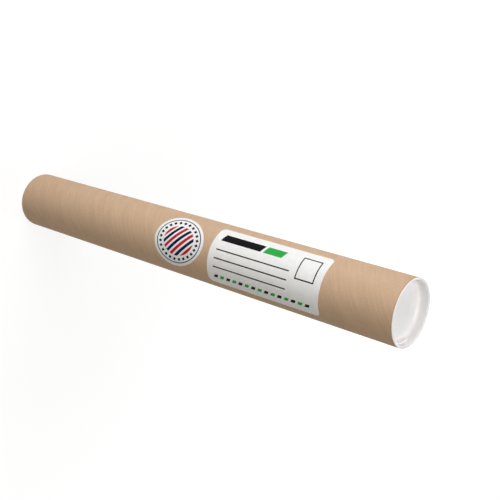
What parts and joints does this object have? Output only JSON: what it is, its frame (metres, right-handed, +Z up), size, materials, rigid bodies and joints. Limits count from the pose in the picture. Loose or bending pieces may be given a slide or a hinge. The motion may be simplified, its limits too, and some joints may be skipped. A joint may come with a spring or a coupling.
{
  "type": "mailing tube",
  "caption": "Round brown kraft mailing tube with white plug end caps that pull off, a wrapped white paper label and a round sticker, for posting rolled sheets.",
  "frame": {"origin": "centre of the lower cap's rim, on the floor that the tube stands on", "axes": "+Z up along the tube's axis; the label's middle faces -Y"},
  "size_m": [0.0802, 0.0804, 0.652],
  "materials": {
    "kraft": "matte",
    "cap_plastic": "satin",
    "label_paper": "matte",
    "sticker_paper": "matte"
  },
  "bodies": {
    "lower_cap": {"bottom_cap": "cap_plastic"},
    "tube": {"kraft_tube": "kraft", "address_label": "label_paper", "round_sticker": "sticker_paper"},
    "upper_cap": {"top_cap": "cap_plastic"}
  },
  "joints": [
    {"name": "tube_lift_off", "type": "slide", "parent": "lower_cap", "child": "tube", "axis": [0, 0, 1], "range_m": [0, 0.06]},
    {"name": "upper_cap_pull", "type": "slide", "parent": "tube", "child": "upper_cap", "axis": [0, 0, 1], "range_m": [0, 0.06]}
  ]
}
